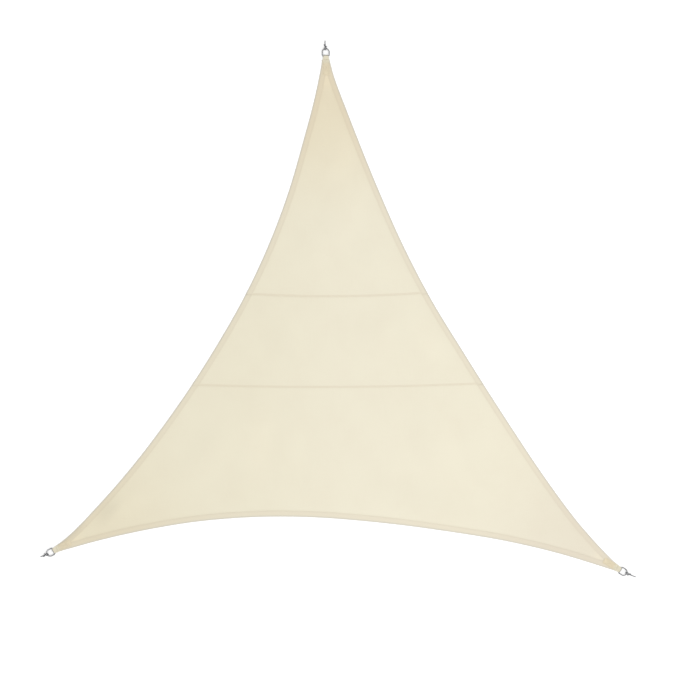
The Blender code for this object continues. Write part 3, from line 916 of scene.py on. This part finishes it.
# Corner straps. Each is one length of sand-coloured polyester webbing, 38 mm wide. It is folded
# round the ring's bar and laid on both faces of the cloth's tip, where it is sewn through.
STRAP_WIDTH = 0.038
STRAP_PINCH = 0.031     # width where the ring draws it together
PINCH_START, PINCH_END = -0.042, -0.026
STRAP_TIP = 0.003       # it lies flat this far past the cloth's tip
STRAP_LEAVES = 102      # where the upper layer leaves the bar, in degrees
STRAP_SETTLES = (0.030, 0.004)  # between these distances before the cloth's tip it comes level
CLEAR = 0.0001          # between what is sewn on and what it lies on
STRAP_COLUMNS = 13
STRAP_STEP = 0.002
CLIMB_STEP = 0.0015
UNDER_STEP = 0.004      # along the straight lower tail
LOOP_STEPS = 16
STIFF_REACH = 2         # it bridges hollows over this many rows and columns to each side
SELVEDGE = 0.0004       # rounding of its edges
RIB_PITCH = 0.0018
CHEVRON = 0.0060        # width of one chevron of the webbing's weave
SAND = (0.635, 0.558, 0.401)
SAND_SHADE = (0.549, 0.475, 0.333)
FOLD_TINT = (1.000, 1.060, 1.140)   # the part behind the ring is greyer
FOLD_REACH = (-0.075, -0.055)       # from none to full, outwards from the ring's middle
TAIL_TINT = (1.070, 1.070, 1.065)   # the sewn end is a little lighter
TAIL_REACH = (-0.138, -0.112)       # from full to none
FOLD_PAINTED_SHADE = (0.170, 0.168, 0.163)   # and the fold round the bar is painted dark grey, as painted shade where it turns down round the bar
FOLD_SHADE_REACH = (-0.0240, -0.0192)


def webbing_finish():
    """Ribbed polyester webbing: chevron ribs and uneven yarn, with painted shade in the rib grooves
    and on its fold round the bar.
    """
    webbing = Finish("sand_webbing_ribs")
    place = webbing.node("UVMap", {"uv_map": "webbing"}, {})
    zigzag = abs(webbing.axis(place, 0).wrapped(CHEVRON) - CHEVRON / 2)
    ribs = ((webbing.axis(place, 1) + zigzag) * (math.tau / RIB_PITCH)).sine()
    yarn = webbing.stretched_noise(place, (900.0, 60.0, 1.0))
    patches = webbing.stretched_noise(place, (60.0, 25.0, 1.0))
    # The rib grooves are painted a little darker, as painted shade.
    sand = webbing.blend(yarn * 0.4 + patches * 0.3 - ribs * 0.2 + 0.1, SAND, SAND_SHADE)
    # Painted shade on the fold round the bar, streaked by the yarn.
    fold_shade_streaks = webbing.stored("fold_shade") * (0.65 + yarn * 0.5 + patches * 0.2)
    return webbing.shade({
        "Base Color": webbing.blend(fold_shade_streaks, webbing.tinted(sand), FOLD_PAINTED_SHADE),
        "Roughness": 0.68 + yarn * 0.2,
        "Normal": webbing.bump(ribs * 0.7 + yarn * 0.5, 0.00025),
        "Sheen Weight": 0.1,
    })


depsgraph = bpy.context.evaluated_depsgraph_get()
panel_trees = [BVHTree.FromObject(panel, depsgraph) for panel in panels.values()]
ABOVE_SAIL = 1.0


def cloth_top(x, y):
    """The height of the sail's face over a point of the ground, or 0 beside the sail."""
    hits = [tree.ray_cast((x, y, ABOVE_SAIL), (0, 0, -1))[0] for tree in panel_trees]
    return max((hit.z for hit in hits if hit), default=0.0)


def stiffened(heights):
    """Heights of a stiff band over an uneven bed: it rides on the high places and spans the low."""
    rows, columns = heights.shape
    offsets = range(2 * STIFF_REACH + 1)

    def around(values):
        padded = np.pad(values, STIFF_REACH, mode="edge")
        return [padded[i:i + rows, j:j + columns] for i in offsets for j in offsets]

    return np.mean(around(np.max(around(heights), axis=0)), axis=0)


def strap_grid(corner):
    """A strap's points at its corner, a row for each place from its upper tail to its lower."""
    sides = np.linspace(-1, 1, STRAP_COLUMNS)
    tail_end = -TIP_SETBACK - STRAP_TAIL
    tail = np.arange(tail_end, -TIP_SETBACK, STRAP_STEP)
    bed = np.array([[cloth_top(*corner.place(out, side * STRAP_WIDTH / 2, 0).xy) for side in sides]
                    for out in tail])
    upper = stiffened(bed) + WEBBING / 2 + CLEAR
    tip_height = upper[-1].mean()
    settle_start, settle_end = (-TIP_SETBACK - distance for distance in STRAP_SETTLES)
    settle = rise(tail, settle_start, settle_end)[:, None]
    upper = upper * (1 - settle) + tip_height * settle
    turn = WIRE / 2 + LAYER_GAP + WEBBING / 2
    angles = np.radians(np.linspace(STRAP_LEAVES, -90, LOOP_STEPS))
    loop = np.stack((RING_BAR + turn * np.cos(angles), BAR_HEIGHT + turn * np.sin(angles)), axis=1)
    past_tip = Vector((STRAP_TIP - TIP_SETBACK, tip_height))
    knots = [Vector((tail[-1], tip_height)), past_tip, Vector(loop[0])]
    climb = smooth_curve(knots, CLIMB_STEP)[1:-1]
    under = [(out, WEBBING / 2) for out in np.arange(RING_BAR - UNDER_STEP, tail_end, -UNDER_STEP)]
    path = np.concatenate((climb, loop, under, [(tail_end, WEBBING / 2)]))
    outs = np.concatenate((tail, path[:, 0]))
    ups = np.concatenate((upper, np.repeat(path[:, 1:], STRAP_COLUMNS, axis=1)))
    widths = STRAP_WIDTH - (STRAP_WIDTH - STRAP_PINCH) * rise(outs, PINCH_START, PINCH_END)
    across = widths[:, None] / 2 * sides
    return np.stack((np.broadcast_to(outs[:, None], ups.shape), across, ups), axis=-1)


def world_points(corner, points):
    """Points given at a corner, as points of the whole sail."""
    turn = np.array(corner.turn)
    return points @ turn[:3, :3].T + turn[:3, 3]


webbing_material = webbing_finish()
straps = {}             # the part of each that faces up
for corner in corners.values():
    grid = strap_grid(corner)
    straps[corner.name] = grid[:np.argmax(grid[:, 0, 0])]
    walked = walked_along(step_lengths(grid[:, STRAP_COLUMNS // 2]))
    uv = np.stack(np.broadcast_arrays(grid[..., 1], walked[:, None]), axis=-1)
    strap = new_piece("webbing_strap_" + corner.name, world_points(corner, grid).reshape(-1, 3),
                      grid_faces(*grid.shape[:2]), "webbing", uv.reshape(-1, 2))
    outs = grid[..., :1].reshape(-1, 1)
    fold, tail = rise(outs, *FOLD_REACH), 1 - rise(outs, *TAIL_REACH)
    tint = tinge(FOLD_TINT, fold) * tinge(TAIL_TINT, tail)
    store(strap, "tint", tint, "FLOAT_VECTOR", "vector")
    # Painted shade on the fold round the bar.
    store(strap, "fold_shade", rise(outs, *FOLD_SHADE_REACH))
    face_outwards(strap)
    thicken(strap, WEBBING)
    rounding = strap.modifiers.new("selvedge", "BEVEL")
    rounding.width = SELVEDGE
    rounding.segments = 2
    rounding.limit_method = "ANGLE"
    rounding.angle_limit = math.radians(60)
    bpy.ops.object.modifier_apply(modifier=rounding.name)
    bpy.ops.object.shade_smooth_by_angle(angle=SHEET_SMOOTH)
    strap.data.materials.append(webbing_material)
    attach(strap, "root")
    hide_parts("strap_" + corner.name)


# Stitching. Polyester thread: two rows along every hem, two rows along each seam, and on each
# strap a boxed cross and a short bar tack behind the ring.
SEWING = {              # pitch, visible length and thickness of a stitch
    "cloth": (0.0050, 0.0040, 0.0006),
    "strap": (0.0040, 0.0033, 0.0008),
}
STITCH_ENDS = 0.45      # past this share of its length from its middle, a stitch dives in
STITCH_DIVE = 0.45      # by this share of its thickness
BOX_SIDE = 0.0155       # half the width of the boxed cross
BOX_OUTS = (-0.135, -0.060)
TACK_OUTS = (-0.0445, -0.0465, -0.0485)
TACK_SIDE = 0.0150
THREAD_CREAM = (0.56, 0.50, 0.36)
THREAD_CREAM_LIGHT = (0.66, 0.61, 0.49)
THREAD_SAND = (0.36, 0.32, 0.23)
THREAD_SAND_LIGHT = (0.47, 0.42, 0.32)


def thread_finish(name, low, high):
    """Twisted thread: a fine uneven sheen and colour along every stitch."""
    thread = Finish(name)
    twist = thread.noise(thread.place(), 2200.0, detail=1.0)
    patches = thread.noise(thread.place(), 70.0)
    return thread.shade({
        "Base Color": thread.blend(twist * 0.6 + patches * 0.4, low, high),
        "Roughness": 0.50 + twist * 0.3,
        "Normal": thread.bump(twist, 0.00006),
    })


def pattern_stitch(length, thickness):
    """Points and faces of one stitch along X: a slim bead of thread whose ends dive in."""
    bpy.ops.object.select_all(action="DESELECT")
    bpy.ops.mesh.primitive_uv_sphere_add(
        segments=6, ring_count=4, radius=thickness / 2, location=(0, 0, 0),
        rotation=(0, math.pi / 2, 0))
    stitch = bpy.context.object
    stitch.scale = (1.0, 1.0, length / thickness)
    bpy.ops.object.transform_apply(location=True, rotation=True, scale=True)
    edit_all(stitch)
    bpy.ops.mesh.select_all(action="DESELECT")
    bpy.ops.object.mode_set(mode="OBJECT")
    for vertex in stitch.data.vertices:
        vertex.select = abs(vertex.co.x) > STITCH_ENDS * length
    bpy.ops.object.mode_set(mode="EDIT")
    bpy.ops.transform.translate(value=(0, 0, -thickness * STITCH_DIVE))
    bpy.ops.object.mode_set(mode="OBJECT")
    points = np.array([vertex.co for vertex in stitch.data.vertices])
    faces = [tuple(face.vertices) for face in stitch.data.polygons]
    bpy.data.objects.remove(stitch)
    return points, faces


def sewn_rows(name, rows, sewing, material):
    """All the stitches along some rows, copied from one pattern and joined into one mesh."""
    pitch, length, thickness = SEWING[sewing]
    pattern, pattern_faces = pattern_stitch(length, thickness)
    points, faces = [], []
    for row in rows:
        holes = spread(row, pitch)
        ahead = unit(np.diff(holes, axis=0))
        side = unit(np.cross((0.0, 0.0, 1.0), ahead))
        up = np.cross(ahead, side)
        middles = (holes[1:] + holes[:-1]) / 2
        turns = np.stack((ahead, side, up), axis=1)
        for middle, turn in zip(middles, turns):
            first = len(points) * len(pattern)
            points.append(middle + pattern @ turn)
            faces += [tuple(first + index for index in face) for face in pattern_faces]
    points = np.concatenate(points)
    piece = new_piece(name, points, faces, "sewing", points[:, :2])
    take_up(piece)
    bpy.ops.object.shade_smooth()
    piece.data.materials.append(material)
    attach(piece, "root")
    return piece


cream_thread = thread_finish("cream_thread", THREAD_CREAM, THREAD_CREAM_LIGHT)
sand_thread = thread_finish("sand_thread", THREAD_SAND, THREAD_SAND_LIGHT)
for panel_name, cloth in cloths.items():
    lines = [fold[:, column] for fold in cloth.folds for column in HEM_STITCH_ROWS]
    rows = [line + (0, 0, SHEET / 2 + CLEAR) for line in lines + cloth.seam_rows]
    sewing = sewn_rows("cream_stitching_" + panel_name, rows, "cloth", cream_thread)


def strap_face(name, out, side):
    """A point on the upper face of a strap, given outwards and sideways at its corner."""
    upper = straps[name]
    row = np.abs(upper[:, 0, 0] - out).argmin()
    column = np.abs(upper[row, :, 1] - side).argmin()
    return np.array((out, side, upper[row, column, 2] + WEBBING / 2 + CLEAR))


box_corners = [(out, side) for out in BOX_OUTS for side in (-BOX_SIDE, BOX_SIDE)]
strokes = list(combinations(box_corners, 2))
strokes += [((out, -TACK_SIDE), (out, TACK_SIDE)) for out in TACK_OUTS]
for corner in corners.values():
    rows = []
    for stroke in strokes:
        line = [strap_face(corner.name, *place) for place in spread(stroke, STRAP_STEP)]
        rows.append(world_points(corner, np.array(line)))
    sewing = sewn_rows("sand_stitching_" + corner.name, rows, "strap", sand_thread)


# Floor and light. A plain white floor, a soft even sky and one large soft lamp from the lower
# right, so that the cloth is a little brighter there.
FLOOR_DROP = 0.0005
FLOOR_WHITE = (0.92, 0.92, 0.92)
FLOOR_WHITE_LIGHT = (0.94, 0.94, 0.94)
SKY_STRENGTH = 1.17
LAMP_PLACE = (7.0, -5.5, 8.0)
LAMP_SIZE = 5.0
LAMP_WATTS = 378.0

bpy.ops.object.select_all(action="DESELECT")
bpy.ops.mesh.primitive_plane_add(size=60.0, location=(0, 0, -FLOOR_DROP))
floor = bpy.context.object
floor.name = "studio_floor"
paper = Finish("white_paper")
mottle = paper.noise(paper.place(), 3.0)
floor.data.materials.append(paper.shade({
    "Base Color": paper.blend(mottle, FLOOR_WHITE, FLOOR_WHITE_LIGHT),
    "Roughness": 0.9,
}))

world = bpy.data.worlds.new("studio")
world.use_nodes = True
sky = world.node_tree.nodes["Background"]
sky.inputs["Color"].default_value = (1.0, 1.0, 1.0, 1.0)
sky.inputs["Strength"].default_value = SKY_STRENGTH
bpy.context.scene.world = world
bpy.ops.object.light_add(type="AREA", location=LAMP_PLACE)
lamp = bpy.context.object
lamp.data.size = LAMP_SIZE
lamp.data.energy = LAMP_WATTS
lamp.rotation_euler = (-lamp.location).to_track_quat("-Z", "Y").to_euler()
bpy.context.scene.view_settings.view_transform = "Standard"
